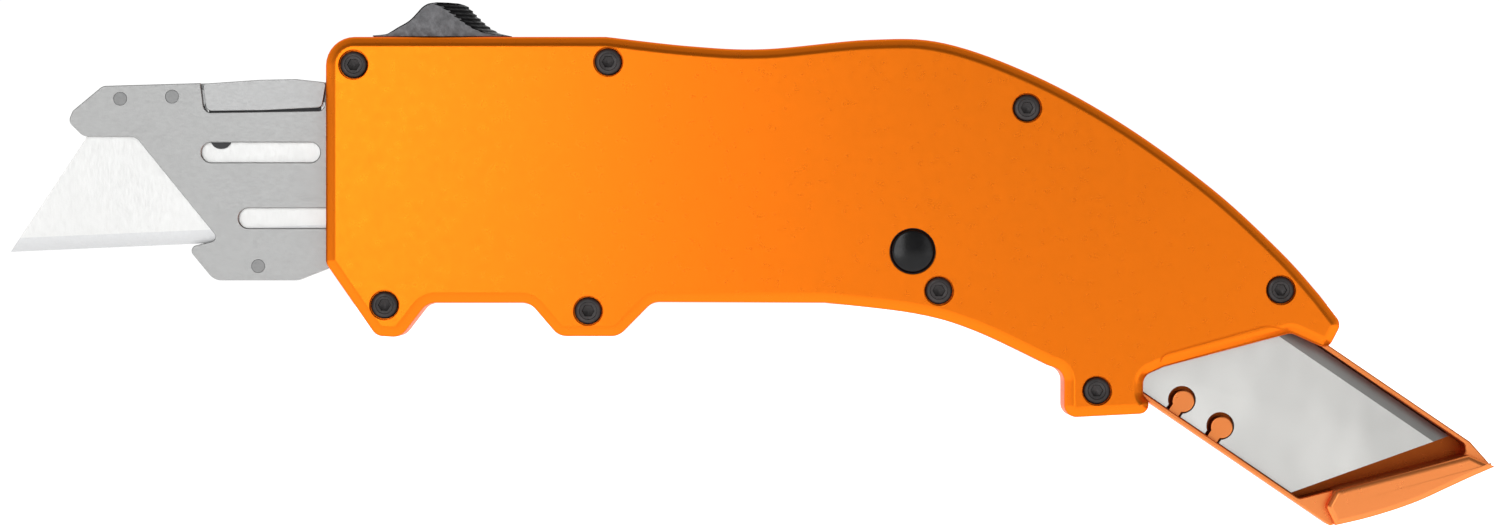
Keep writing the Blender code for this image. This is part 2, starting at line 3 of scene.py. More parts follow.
import bmesh
import bpy
import numpy as np
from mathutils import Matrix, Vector


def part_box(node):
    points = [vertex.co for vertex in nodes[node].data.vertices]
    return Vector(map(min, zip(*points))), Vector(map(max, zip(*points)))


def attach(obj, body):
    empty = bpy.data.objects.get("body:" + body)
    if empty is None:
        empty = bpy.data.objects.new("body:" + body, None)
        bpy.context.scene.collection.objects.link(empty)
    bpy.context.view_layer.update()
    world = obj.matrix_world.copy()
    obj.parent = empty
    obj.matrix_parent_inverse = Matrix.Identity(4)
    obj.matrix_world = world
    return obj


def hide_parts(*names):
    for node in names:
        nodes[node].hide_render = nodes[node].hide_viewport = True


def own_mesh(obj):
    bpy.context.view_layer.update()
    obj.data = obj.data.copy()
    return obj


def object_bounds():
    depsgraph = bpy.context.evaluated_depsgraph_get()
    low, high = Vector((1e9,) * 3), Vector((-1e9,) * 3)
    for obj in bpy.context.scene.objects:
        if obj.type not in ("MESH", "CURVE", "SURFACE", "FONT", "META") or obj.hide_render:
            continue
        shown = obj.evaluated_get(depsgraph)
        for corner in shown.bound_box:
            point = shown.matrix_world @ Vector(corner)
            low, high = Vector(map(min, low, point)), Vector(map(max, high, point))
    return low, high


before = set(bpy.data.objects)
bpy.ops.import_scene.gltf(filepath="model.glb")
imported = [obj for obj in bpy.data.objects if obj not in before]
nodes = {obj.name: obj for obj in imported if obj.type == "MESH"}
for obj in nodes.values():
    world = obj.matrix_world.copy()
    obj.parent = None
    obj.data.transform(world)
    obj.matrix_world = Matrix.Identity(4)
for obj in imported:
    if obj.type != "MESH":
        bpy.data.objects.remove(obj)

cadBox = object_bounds()
mm = 0.001

# Everything is drawn in millimetres in the knife's own frame and scaled as it goes into a mesh.
coverLow = np.array(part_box("front_cover")[0]) / mm
handleLeft = coverLow[0]
faceY = coverLow[1]
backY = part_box("back_cover")[1][1] / mm
midY = (faceY + backY) / 2


# Walks round (x, z, radius) corners: each corner is moved along its bisector by the inset, then becomes an
# arc of its radius plus or minus the inset; a corner of no radius stays one point.
def cornerOutline(corners, inset=0.0, steps=8):
    c = np.array(corners, float)
    before, after = np.roll(c, 1, 0), np.roll(c, -1, 0)
    turn = np.sign((c[:, 0] * after[:, 1] - after[:, 0] * c[:, 1]).sum())
    first = np.arctan2(c[:, 1] - before[:, 1], c[:, 0] - before[:, 0])
    second = np.arctan2(after[:, 1] - c[:, 1], after[:, 0] - c[:, 0])
    bend = (second - first + pi) % (2 * pi) - pi
    side = np.where(bend > 0, 1.0, -1.0)
    reach = turn * inset / np.cos(bend / 2)
    normal = first + bend / 2 + pi / 2
    at = c[:, :2] + (reach * np.array([np.cos(normal), np.sin(normal)])).T
    radius = np.where(c[:, 2] > 0, np.maximum(c[:, 2] - turn * side * inset, 0.02), 0.0)
    start = np.abs(radius * np.tan(bend / 2))
    centre = at + np.stack([-start * np.cos(first) - side * radius * np.sin(first),
                            -start * np.sin(first) + side * radius * np.cos(first)], 1)
    angle = (first - side * pi / 2)[:, None] + bend[:, None] * np.linspace(0, 1, steps + 1)[None, :]
    arc = centre[:, None] + radius[:, None, None] * np.stack([np.cos(angle), np.sin(angle)], 2)
    plain = radius[:, None] == 0
    arc = np.where(plain[..., None], at[:, None], arc)
    keep = ~plain | (np.arange(steps + 1)[None, :] == 0)
    return arc[keep]


# Plain corners on a Catmull-Rom curve through the points.
def curvePoints(points, steps=8):
    p = np.array([points[0]] + list(points) + [points[-1]], float)
    t = np.linspace(0, 1, steps, endpoint=False)[None, :, None]
    a, b, c, d = (p[i:len(p) - 3 + i, None] for i in range(4))
    xz = (2 * b + (c - a) * t + (2 * a - 5 * b + 4 * c - d) * t ** 2 + (3 * b - a - 3 * c + d) * t ** 3) / 2
    xz = np.concatenate([xz.reshape(-1, 2), p[-1:]])
    return [(x, z, 0.0) for x, z in xz]


def meshFrom(name, verts, faces):
    mesh = bpy.data.meshes.new(name)
    mesh.from_pydata((np.asarray(verts, float) * mm).tolist(), [], faces)
    mesh.validate()
    piece = bpy.data.objects.new(name, mesh)
    bpy.context.scene.collection.objects.link(piece)
    turned = bmesh.new()
    turned.from_mesh(mesh)
    bmesh.ops.recalc_face_normals(turned, faces=turned.faces)
    turned.to_mesh(mesh)
    turned.free()
    return piece


# Joins rings of equally many points by quads; the first and last ring are capped, or joined if closed.
def loft(name, rings, closed=False):
    rings = np.array(rings, float)
    count, size = rings.shape[:2]
    index = np.arange(count * size).reshape(count, size)
    low, high = (index, np.roll(index, -1, 0)) if closed else (index[:-1], index[1:])
    quads = np.stack([low, np.roll(low, -1, 1), np.roll(high, -1, 1), high], -1).reshape(-1, 4).tolist()
    caps = [] if closed else [index[0, ::-1].tolist(), index[-1].tolist()]
    return meshFrom(name, rings.reshape(-1, 3), quads + caps)


def flatRing(outline, y):
    return np.stack([outline[:, 0], np.full(len(outline), y), outline[:, 1]], 1)


# An outline given thickness along Y; each rim is a quarter round of its own softness.
def slab(name, corners, y0, y1, soft=0.1, soft1=None, steps=8, arcs=4):
    soft1 = soft if soft1 is None else soft1
    rings = []
    for y, way, r in ((y0, 1, soft), (y1, -1, soft1)):
        for i in range(arcs + 1):
            angle = (pi / 2) * (i / arcs if way > 0 else 1 - i / arcs)
            outline = cornerOutline(corners, r * (1 - sin(angle)), steps)
            rings.append(flatRing(outline, y + way * r * (1 - cos(angle))))
            if not r:
                break
    return loft(name, rings)


def circlePoints(centre, radius, steps=48):
    angle = np.linspace(0, 2 * pi, steps, endpoint=False)
    return np.stack([centre[0] + radius * np.cos(angle), centre[1] + radius * np.sin(angle)], 1)


# A profile of (radius, y) pairs spun about the Y axis through the centre.
def turnedPiece(name, centre, profile, steps=48):
    return loft(name, [flatRing(circlePoints(centre, r, steps), y) for r, y in profile])


def boxCorners(x0, x1, z0, z1, r=0.0):
    return [(x0, z0, r), (x1, z0, r), (x1, z1, r), (x0, z1, r)]


# Cuts the tools from the piece, or joins them to it, and throws the tools away.
def carve(piece, tools, operation="DIFFERENCE"):
    for tool in tools:
        change = piece.modifiers.new("carve", "BOOLEAN")
        change.operation = operation
        change.solver = "EXACT"
        change.object = tool
    settle(piece)
    for tool in tools:
        bpy.data.objects.remove(tool)


# Turns what the modifiers make into the piece's own mesh.
def settle(piece):
    bpy.context.view_layer.update()
    seen = piece.evaluated_get(bpy.context.evaluated_depsgraph_get())
    made = bpy.data.meshes.new_from_object(seen)
    piece.modifiers.clear()
    piece.data = made


# A cutter through a face whose opening is broken by a small chamfer at that face.
def flare(corners, face, inside, wide=0.2, steps=8):
    way = 1 if inside > face else -1
    rings = [(face - way * 0.5, -wide), (face, -wide), (face + way * wide, 0.0), (inside, 0.0)]
    return loft("cutter", [flatRing(cornerOutline(corners, grow, steps), y) for y, grow in rings])


# The same for a round hole.
def roundFlare(centre, radius, face, inside, wide=0.15, steps=48):
    way = 1 if inside > face else -1
    wider = radius + wide
    rings = [(face - way * 0.5, wider), (face, wider), (face + way * wide, radius), (inside, radius)]
    return loft("cutter", [flatRing(circlePoints(centre, r, steps), y) for y, r in rings])


# Smooth shading with crisp edges, its material, and its place on the frame.
def finishPiece(piece, material, body, replaced, sharp=28):
    piece.data.materials.clear()
    for m in (material if isinstance(material, (list, tuple)) else [material]):
        piece.data.materials.append(m)
    piece.data.shade_smooth()
    piece.data.set_sharp_from_angle(angle=radians(sharp))
    weighted = piece.modifiers.new("weighted", "WEIGHTED_NORMAL")
    weighted.keep_sharp = True
    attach(piece, body)
    if replaced:
        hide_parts(*replaced)
    return piece


def newMaterial(name, color, roughness, metallic):
    made = bpy.data.materials.new(name)
    made.use_nodes = True
    shader = made.node_tree.nodes["Principled BSDF"]
    shader.inputs["Base Color"].default_value = (*color, 1)
    shader.inputs["Roughness"].default_value = roughness
    shader.inputs["Metallic"].default_value = metallic
    return made, made.node_tree.nodes, made.node_tree.links, shader


# Noise on object coordinates, its grain drawn out along the axes by the stretch.
def noiseOf(tree, links, scale, detail=3.0, stretch=(1, 1, 1), turn=(0, 0, 0)):
    where = tree.new("ShaderNodeTexCoord")
    mapping = tree.new("ShaderNodeMapping")
    mapping.inputs["Scale"].default_value = stretch
    mapping.inputs["Rotation"].default_value = turn
    noise = tree.new("ShaderNodeTexNoise")
    noise.inputs["Scale"].default_value = scale
    noise.inputs["Detail"].default_value = detail
    links.new(where.outputs["Object"], mapping.inputs["Vector"])
    links.new(mapping.outputs["Vector"], noise.inputs["Vector"])
    return noise.outputs["Fac"]


def rangeOf(tree, links, value, low, high, fromLow=0.3, fromHigh=0.7):
    remap = tree.new("ShaderNodeMapRange")
    for name, number in (("From Min", fromLow), ("From Max", fromHigh), ("To Min", low), ("To Max", high)):
        remap.inputs[name].default_value = number
    links.new(value, remap.inputs["Value"])
    return remap.outputs["Result"]


def mixColors(tree, links, factor, first, second):
    mix = tree.new("ShaderNodeMix")
    mix.data_type = "RGBA"
    mix.inputs["A"].default_value = (*first, 1)
    mix.inputs["B"].default_value = (*second, 1)
    links.new(factor, mix.inputs["Factor"])
    return mix.outputs["Result"]


def addBump(tree, links, shader, height, strength, distance):
    bump = tree.new("ShaderNodeBump")
    bump.inputs["Strength"].default_value = strength
    bump.inputs["Distance"].default_value = distance
    links.new(height, bump.inputs["Height"])
    links.new(bump.outputs["Normal"], shader.inputs["Normal"])


# Bead-blasted aluminium dyed orange: a fine even grain, faint clouds of tone and uneven gloss.
def anodisedOrange(name, light, dark):
    made, tree, links, shader = newMaterial(name, light, 0.32, 0.85)
    clouds = rangeOf(tree, links, noiseOf(tree, links, 14, 6), 0.0, 1.0)
    links.new(mixColors(tree, links, clouds, light, dark), shader.inputs["Base Color"])
    links.new(rangeOf(tree, links, noiseOf(tree, links, 900, 5), 0.27, 0.31), shader.inputs["Roughness"])
    addBump(tree, links, shader, noiseOf(tree, links, 5200, 2), 0.12, 0.00002)
    shader.inputs["Specular Tint"].default_value = (0.6, 0.22, 0.1, 1)
    return made


# Steel with its grain drawn along one way: long fine scratches in tone, gloss and height.
def brushedSteel(name, color, roughness, stretch, tone=0.05):
    made, tree, links, shader = newMaterial(name, color, roughness, 1.0)
    grain = noiseOf(tree, links, 5200, 3, stretch)
    dark = tuple(value * (1 - tone) for value in color)
    clouds = rangeOf(tree, links, noiseOf(tree, links, 48, 3, (1, 1, 0.6), (0, 0.6, 0)), 0.0, 1.0)
    links.new(mixColors(tree, links, clouds, color, dark), shader.inputs["Base Color"])
    links.new(rangeOf(tree, links, grain, roughness * 0.93, roughness * 1.08), shader.inputs["Roughness"])
    addBump(tree, links, shader, grain, 0.12, 0.000006)
    return made


# Blackened metal: dark with a slight uneven gloss and a dusty fine grain.
def blackOxide(name, color, roughness, gloss=0.5):
    made, tree, links, shader = newMaterial(name, color, roughness, 0.5)
    shader.inputs["Specular IOR Level"].default_value = gloss
    clouds = rangeOf(tree, links, noiseOf(tree, links, 500, 4), 0.0, 1.0)
    pale = tuple(min(value * 2.2, 1) for value in color)
    links.new(mixColors(tree, links, clouds, color, pale), shader.inputs["Base Color"])
    links.new(rangeOf(tree, links, noiseOf(tree, links, 1600, 3), roughness * 0.8, roughness * 1.25),
              shader.inputs["Roughness"])
    addBump(tree, links, shader, noiseOf(tree, links, 4000, 2), 0.25, 0.00002)
    return made


orange = anodisedOrange("orangeAnodised", (0.85, 0.182, 0.007), (0.845, 0.177, 0.007))
# A darker copy of the tray's orange: painted shade for the faces deep inside the well.
shadedWellOrange = anodisedOrange("wellPaintedShade", (0.34, 0.075, 0.012), (0.3, 0.062, 0.01))
trayOrange = anodisedOrange("trayAnodised", (0.83, 0.262, 0.076), (0.8, 0.242, 0.066))
plateSteel = brushedSteel("plateSteel", (0.36, 0.362, 0.36), 0.42, (0.3, 1, 1))
leverSteel = brushedSteel("leverSteel", (0.37, 0.372, 0.372), 0.4, (0.3, 1, 1))
rivetSteel = brushedSteel("rivetSteel", (0.25, 0.252, 0.252), 0.45, (1, 1, 1))
bladeSteel = brushedSteel("bladeSteel", (0.66, 0.662, 0.655), 0.42, (1, 1, 0.2), 0.07)
spareSteel = brushedSteel("spareSteel", (0.83, 0.825, 0.8), 0.22, (0.4, 1, 1), 0.38)
bevelSteel = brushedSteel("bevelSteel", (0.27, 0.27, 0.26), 0.35, (1, 1, 0.3), 0.3)
fittedBevel = brushedSteel("fittedBevel", (0.56, 0.565, 0.57), 0.4, (1, 1, 0.3), 0.06)
screwBlack = blackOxide("screwBlack", (0.025, 0.022, 0.022), 0.38)
slideBlack = blackOxide("slideBlack", (0.082, 0.082, 0.086), 0.42)
# A darker, less glossy copy of the slide's black: painted shade for its faces that do not face sideways.
ribPaintedShade = blackOxide("ribPaintedShade", (0.003, 0.003, 0.0035), 0.55, 0.15)
buttonBlack = blackOxide("buttonBlack", (0.003, 0.003, 0.0035), 0.16)
# Near-black steel used as painted shade: on the lever's deep faces and on the blade's retainer spring.
paintedShadeSteel = brushedSteel("paintedShadeSteel", (0.06, 0.06, 0.062), 0.5, (1, 1, 1))
springSteel = brushedSteel("springSteel", (0.16, 0.16, 0.17), 0.4, (1, 1, 1))
print("materials made")


handle = {
    "spine": ((-20.0, 19.9), (-8.3, 18.6), (2.0, 18.2), (16.7, 19.5), (27.1, 19.0), (39.6, 14.5), (52.1, 7.6),
              (64.6, -1.5), (74.0, -10.2), (79.2, -16.0)),
    "tail": ((82.3, -20.0, 1.6), (80.4, -23.6, 1.3), (75.3, -21.3, 1.5), (57.6, -26.0, 1.6),
             (54.7, -27.3, 1.7), (54.7, -30.0, 1.1), (57.4, -32.4, 1.3), (43.7, -33.1, 1.7),
             (43.7, -26.5, 2.1)),
    "belly": ((41.7, -25.9), (31.3, -21.0), (22.9, -18.6), (10.4, -17.1)),
    "fingers": ((-13.6, -17.0, 2.5), (-18.3, -21.75, 2.2), (-26.6, -21.75, 2.4), (-30.6, -17.1, 2.5),
                (-44.9, -17.1, 2.5), (-48.6, -21.9, 2.2), (-52.0, -21.7, 1.8)),
    "channel": ((5.5, -14.35, 0), (5.5, -9.1, 0), (21.9, -9.1, 0), (21.9, 9.5, 0), (-6.5, 9.5, 0),
                (-6.5, 14.5, 0)),
    "channelHalf": 1.55,
    "seamSoft": 0.06,
    "past": 9.0,
    "boreRadius": 2.05,
    "boreDeep": 1.7,
    "trayHigh": 26.75,
    "trayLow": 5.45,
    "trayDeep": {"frontCover": 3.0, "backCover": 1.8},
    "slideRoom": {"frontCover": -1.9, "backCover": 1.9},
    "buttonBore": 3.2,
    "buttonPocket": 3.75,
    "chamfer": ((0.0, 1.5), (0.02, 1.34), (0.08, 1.18), (0.2, 1.0), (0.36, 0.82), (0.82, 0.36), (1.0, 0.2),
                (1.18, 0.08), (1.34, 0.02), (1.5, 0.0)),
    "rebate": ((56.9, -28.0, 0), (56.9, -24.2, 1.5), (71.7, -20.1, 2.5), (77.0, -21.2, 0), (77.0, -26.0, 0)),
}
trayAngle = radians(34.3)
downTray = np.array([cos(trayAngle), -sin(trayAngle)])
acrossTray = np.array([sin(trayAngle), cos(trayAngle)])


# Turns (along, across, radius) in the tray's own directions into (x, z, radius).
def trayCorners(points):
    p = np.array([(*q, 0.0)[:3] for q in points], float)
    xz = p[:, :1] * downTray + p[:, 1:2] * acrossTray
    return [(x, z, r) for (x, z), r in zip(xz, p[:, 2])]


def handleCorners():
    return ([(handleLeft, 19.9, 4.0)] + curvePoints(handle["spine"]) + list(handle["tail"])
            + curvePoints(handle["belly"]) + list(handle["fingers"]) + [(handleLeft, -11.6, 1.5)])


# The handle's outline from the seam out to the face, whose edge is a chamfer with both its corners eased.
def coverBlank(name, seam, face):
    way = 1 if face < seam else -1
    corners = handleCorners()
    rings = [flatRing(cornerOutline(corners, handle["seamSoft"]), seam)]
    rings.append(flatRing(cornerOutline(corners), seam - way * handle["seamSoft"]))
    rings += [flatRing(cornerOutline(corners, inset), face + way * deep) for inset, deep in handle["chamfer"]]
    return loft(name, rings)


def faceValues(piece, name):
    values = np.empty(len(piece.data.polygons) * 3, np.float32)
    piece.data.polygons.foreach_get(name, values)
    return values.reshape(-1, 3).astype(float)


def nodeCentre(name):
    low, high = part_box(name)
    return ((low[0] + high[0]) / 2 / mm, (low[2] + high[2]) / 2 / mm)


# Each cover is its blank with the carrier's channel, the tray's path, the slide's slot and the screws' bores
# cut out. The front one also has the rebate at the tray's mouth and the button's bore. The back one has two
# long pockets.
def makeCovers():
    h = handle
    screws = [nodeCentre(f"cover_screw_{i + 1}") for i in range(8)]
    button = nodeCentre("tray_release_button")
    outside = handleLeft - h["past"]
    channel = [(outside, h["channel"][0][1], 0), *h["channel"], (outside, h["channel"][-1][1], 0)]
    high, low = h["trayHigh"], h["trayLow"]
    trayPath = trayCorners([(8.6, high), (22.6, low), (160, low), (160, high)])
    sides = (("frontCover", "front_cover", faceY, 1), ("backCover", "back_cover", backY, -1))
    for name, node, face, way in sides:
        cover = coverBlank(name, midY - way * 0.05, face)
        past = midY + way * 0.45
        tools = []
        for outline, y in ((channel, midY - way * h["channelHalf"]),
                           (trayPath, face + way * h["trayDeep"][name]),
                           (boxCorners(-45.4, -21.6, 13.0, 24.0), midY + h["slideRoom"][name])):
            tools.append(slab("cutter", outline, *sorted((y, past)), soft=0))
        for centre in screws:
            if way > 0:
                tools.append(roundFlare(centre, h["boreRadius"], faceY, faceY + h["boreDeep"], 0.08))
            shaft = sorted((midY, face + 1.2 if way > 0 else face - 2.0))
            tools.append(loft("cutter", [flatRing(circlePoints(centre, 1.0, 24), y) for y in shaft]))
        if way > 0:
            groove = slab("cutter", h["rebate"], faceY - 1, faceY + 0.35, soft=0)
            inner = cornerOutline(h["rebate"], 0.26)
            carve(groove, [loft("cutter", [flatRing(inner, y) for y in (faceY - 2, faceY + 1)])])
            tools.append(groove)
            tools.append(roundFlare(button, h["buttonBore"], faceY, faceY + 1.5, 0.1, 64))
            pocket = circlePoints(button, h["buttonPocket"], 64)
            tools.append(loft("cutter", [flatRing(pocket, y) for y in (faceY + 1.0, midY)]))
        else:
            tools.append(slab("cutter", boxCorners(-58.0, 22.1, 0.2, 8.8), midY, -1.9, soft=0))
            tools.append(slab("cutter", boxCorners(-45.4, -4.9, 7.0, 17.2), midY, -3.3, soft=0))
        carve(cover, tools)
        finishPiece(cover, orange, "handle", [node])
    print("covers made")
    return screws


screw = {
    "radius": 1.9,
    "below": 0.3,
    "head": ((-0.62, 0), (-0.42, 0.01), (-0.24, 0.06), (-0.1, 0.15), (-0.02, 0.29), (0, 0.42), (0, 1.25)),
    "shank": ((0.9, 1.25), (0.9, 10.5), (0.75, 10.7)),
    "dish": ((1.28, -0.3), (1.28, -0.02), (1.18, 0.1), (0.6, 0.16)),
    "socket": ((0.9, -0.3), (0.9, 0.14), (0.82, 0.24), (0.82, 0.85), (0.2, 1.1)),
}


# Socket screws: a rounded rim, a shallow dish and a hexagonal socket with a coned floor.
def makeScrews(centres):
    top = faceY + screw["below"]
    profile = [(screw["radius"] + r, top + y) for r, y in screw["head"]]
    profile += [(r, top + y) for r, y in screw["shank"]]
    for i, centre in enumerate(centres):
        piece = turnedPiece(f"coverScrew{i + 1}", centre, profile, 48)
        tools = [loft("cutter", [flatRing(circlePoints(centre, r, sides), top + y) for r, y in screw[part]])
                 for part, sides in (("dish", 48), ("socket", 6))]
        carve(piece, tools)
        finishPiece(piece, screwBlack, "handle", [f"cover_screw_{i + 1}"])
    print("screws made")


makeScrews(makeCovers())


carrier = {
    "plate": 0.9,
    "blade": 0.6,
    "gap": 0.1,
    "outline": ((-95.3, 8.2, 1.0), (-94.7, 9.7, 0.9), (-90.5, 13.2, 1.5), (-76.4, 13.6, 0), (-59.0, 13.75, 0),
                (-52.0, 13.75, 0.8), (-52.0, 8.6, 0), (-23.5, 8.6, 0.8), (-23.5, -8.4, 0.8), (-40.0, -8.4, 0),
                (-40.0, -12.2, 0.8), (-58.6, -12.2, 0), (-63.2, -14.0, 2.5), (-74.9, -14.0, 2.2),
                (-78.7, -9.4, 0.8), (-74.2, -8.3, 0.7), (-85.9, 6.1, 1.6), (-93.2, 6.1, 1.8)),
    "leverCut": ((-77.0, 15.0, 0), (-76.3, 9.45, 1.1), (-59.6, 9.72, 0.9), (-58.6, 15.0, 0)),
    "slots": ((-76.7, -60.1, 2.5, 5.3), (-71.5, -47.0, -6.7, -3.9)),
    "slotRound": 1.38,
    "rivetHole": 0.96,
    "pinHoles": {"lever_pivot": 0.68, "hook_post_front": 0.5, "hook_post_rear": 0.5},
    "rivet": ((0.8, 0), (0.91, 0.015), (0.95, 0.06)),
}
tray = {
    "low": 5.75,
    "width": 20.7,
    "wall": 0.7,
    "floor": 1.0,
    "end": 40.0,
    "capBase": 100.1,
    "underBack": 2.1,
    "underTop": 9.7,
    "wellStart": 11.8,
    "wellEnd": 5.2,
    "wellLean": 16.3,
    "peg": ((1.35, 1.9), (1.46, 1.94), (1.55, 2.05)),
    "pegGap": 0.2,
    "bladeRoom": 0.15,
    "bladeBack": 25.6,
    "bow": ((-5.8, 6.2), (-3.2, 9.0), (-0.4, 12.4), (1.9, 15.6), (3.9, 18.9), (6.0, 22.4)),
    "capSoft": 0.8,
    "blades": 5,
}
bladeSize = {
    "length": 61.0,
    "width": 19.0,
    "angle": 54.0,
    "bevel": 1.9,
    "notch": 1.95,
    "neck": 1.2,
    "apart": 6.5,
    "deep": 4.05,
    "tilt": 2.5,
    "tip": (-103.5, -10.0),
}


# A cutter straight through from y0 to y1, round, with the given radius.
def drill(centre, radius, y0, y1, steps=24):
    return loft("cutter", [flatRing(circlePoints(centre, radius, steps), y) for y in (y0, y1)])


# Two plates on either side of the blade, with slots that are broken on their outer face. The front one is cut
# away for the lever, and the back one holds the pins.
def makePlates():
    thick = carrier["plate"]
    half = carrier["blade"] / 2 + carrier["gap"]
    low, high = midY - half - thick, midY + half + thick
    rivets = [nodeCentre(f"carrier_rivet_{i + 1}") for i in range(5)]
    plates = (("frontPlate", "carrier_front_plate", low, low + thick, 1),
              ("backPlate", "carrier_back_plate", high, high - thick, -1))
    for name, node, outer, inner, way in plates:
        y0, y1 = sorted((outer, inner))
        plate = slab(name, carrier["outline"], y0, y1, 0.12)
        tools = []
        for sides in carrier["slots"]:
            slot = boxCorners(*sides, carrier["slotRound"])
            tools.append(flare(slot, outer, inner + way * 0.5, 0.12, 16))
        tools += [drill(centre, carrier["rivetHole"], y0 - 1, y1 + 1, 40) for centre in rivets]
        if way > 0:
            tools.append(flare(carrier["leverCut"], outer, inner + 0.5, 0.1))
            tools.append(slab("cutter", boxCorners(-75.7, -72.3, 4.0, 9.4), y1 - 0.4, y1 + 1, soft=0))
        else:
            for pin, radius in carrier["pinHoles"].items():
                tools.append(drill(nodeCentre(pin), radius, y0 - 1, y1 + 1))
        carve(plate, tools)
        finishPiece(plate, plateSteel, "carrier", [node])
    ends = [(r, low + y) for r, y in carrier["rivet"]] + [(r, high - y) for r, y in carrier["rivet"][::-1]]
    for i, centre in enumerate(rivets):
        rivet = turnedPiece(f"carrierRivet{i + 1}", centre, ends, 40)
        finishPiece(rivet, rivetSteel, "carrier", [f"carrier_rivet_{i + 1}"])
    print("carrier plates and rivets made")


# The blade's outline above its bevel, with two keyhole notches in its back.
def bladePoints():
    b = bladeSize
    run = b["width"] / tan(radians(b["angle"]))
    rise = b["bevel"] / tan(radians(b["angle"]))
    middle = b["length"] / 2
    points = [[(rise, b["bevel"]), (b["length"] - rise, b["bevel"]), (b["length"] - run, b["width"])]]
    opening = np.arccos(b["neck"] / b["notch"])
    angle = np.linspace(opening, -pi - opening, 33)
    low = b["width"] - b["deep"] + b["notch"]
    for side in (1, -1):
        centre = middle + side * b["apart"] / 2
        points.append([(centre + b["neck"], b["width"])])
        points.append(np.stack([centre + b["notch"] * np.cos(angle), low + b["notch"] * np.sin(angle)], 1))
        points.append([(centre - b["neck"], b["width"])])
    return np.concatenate([np.array(part, float) for part in points] + [np.array([(run, b["width"])])])


# Two flat sides that meet at the cutting edge through a ground bevel on each.
def makeBlade(name, place, y, materials, body, replaced):
    half = carrier["blade"] / 2
    outline = bladePoints()
    count = len(outline)
    edge = np.array([(0.0, 0.0), (bladeSize["length"], 0.0)])
    front, back, tip = (place(p) for p in (outline, outline, edge))
    verts = np.concatenate([flatRing(front, y - half), flatRing(back, y + half), flatRing(tip, y)])
    low = np.arange(1, count)
    high = (low + 1) % count
    sides = np.stack([low, low + count, high + count, high], 1).tolist()
    e0, e1 = 2 * count, 2 * count + 1
    bevels = [[0, e0, e1, 1], [count + 1, e1, e0, count], [1, e1, count + 1], [count, e0, 0]]
    flats = [list(range(count)), list(range(2 * count - 1, count - 1, -1))]
    piece = meshFrom(name, verts, flats + sides + bevels)
    finishPiece(piece, materials, body, replaced)
    ends = np.zeros(len(piece.data.polygons), int)
    ends[-4:] = 1
    piece.data.polygons.foreach_set("material_index", ends)
    return piece


def fittedPlace(points):
    tilt = radians(bladeSize["tilt"])
    u, v = points[:, 0], points[:, 1]
    return np.stack([bladeSize["tip"][0] + u * cos(tilt) - v * sin(tilt),
                     bladeSize["tip"][1] + u * sin(tilt) + v * cos(tilt)], 1)


def sparePlace(points):
    u, v = tray["end"] + points[:, :1], tray["bladeBack"] - points[:, 1:2]
    return u * downTray + v * acrossTray


lever = {
    "outline": ((-76.5, 13.5, 0.5), (-75.98, 9.7, 0.9), (-68.0, 9.8, 0), (-59.85, 10.2, 0.7),
                (-59.25, 13.7, 0.5), (-63.5, 14.15, 2.0), (-68.5, 14.05, 2.0)),
    "tooth": ((-77.7, 10.0, 0), (-76.5, 10.05, 0), (-76.2, 10.8, 0), (-71.4, 10.9, 0), (-71.4, 12.9, 0),
              (-77.9, 12.6, 0)),
    "lip": ((-75.7, 8.7, 0), (-60.0, 8.7, 0), (-60.0, 10.8, 0), (-75.7, 10.4, 0)),
    "hole": 0.66,
    "pin": 0.6,
}


# The rocker: a thin plate that fills the cut-out, over a tooth one layer deeper and a lip that shades the
# joint below it. Both are near-black where they lie deeper than the front plate: painted shade on top of the
# real shade.
def makeLever():
    y0 = midY - carrier["blade"] / 2 - carrier["gap"] - carrier["plate"]
    y1 = midY - carrier["blade"] / 2 - 0.06
    piece = slab("releaseLever", lever["outline"], y0, y1, 0.1, 0.02)
    pivot = nodeCentre("lever_pivot")
    tooth = slab("cutter", lever["tooth"], y1 - 0.05, midY + 0.3, soft=0)
    lip = slab("cutter", lever["lip"], y1 - 0.025, y1 + 0.04, soft=0)
    carve(piece, [tooth], "UNION")
    carve(piece, [lip], "UNION")
    carve(piece, [drill(pivot, lever["hole"], y0 + 0.4, midY + 2, 32)])
    finishPiece(piece, [leverSteel, paintedShadeSteel], "release_lever", ["blade_release_lever"])
    # Faces deeper than the front plate, the tooth and the lip, take the near-black steel as painted shade.
    deep = faceValues(piece, "center")[:, 1] / mm > y1 - 0.035
    piece.data.polygons.foreach_set("material_index", deep.astype(int))
    r = lever["pin"]
    ends = [(r - 0.1, y0 + 0.45), (r, y0 + 0.55), (r, midY + 1.2), (r - 0.1, midY + 1.3)]
    pin = turnedPiece("leverPin", pivot, ends, 32)
    finishPiece(pin, plateSteel, "carrier", ["lever_pivot"])


makePlates()
makeBlade("fittedBlade", fittedPlace, midY, [bladeSteel, fittedBevel], "carrier", ["utility_blade"])
makeLever()
print("blade and lever made")


thumb = {
    "left": -52.6,
    "base": 20.05,
    "halfWidth": 3.5,
    "ramp": ((0.0, 0.12), (1.8, 0.3), (2.5, 0.62), (3.6, 1.3), (4.6, 1.85), (5.4, 2.45), (6.2, 3.3),
             (6.9, 4.05), (7.6, 4.5), (8.4, 4.68), (9.3, 4.74), (10.6, 4.74), (12.0, 4.66)),
    "slope": ((12.9, 4.5), (13.6, 3.9), (14.6, 2.85), (15.6, 1.9), (16.7, 1.05), (17.9, 0.45),
              (19.3, 0.12)),
    "ribs": 8,
    "sidePull": (3.9, 3.4, 2.9, 2.6, 2.3, 1.9, 1.2),
    "ribDeep": 0.28,
    "edge": 0.12,
    "across": (0, 0.2, 0.38, 0.54, 0.68, 0.8, 0.9, 0.96, 0.985, 1),
    "stem": (-45.0, -40.0, 14.95, 20.5),
}


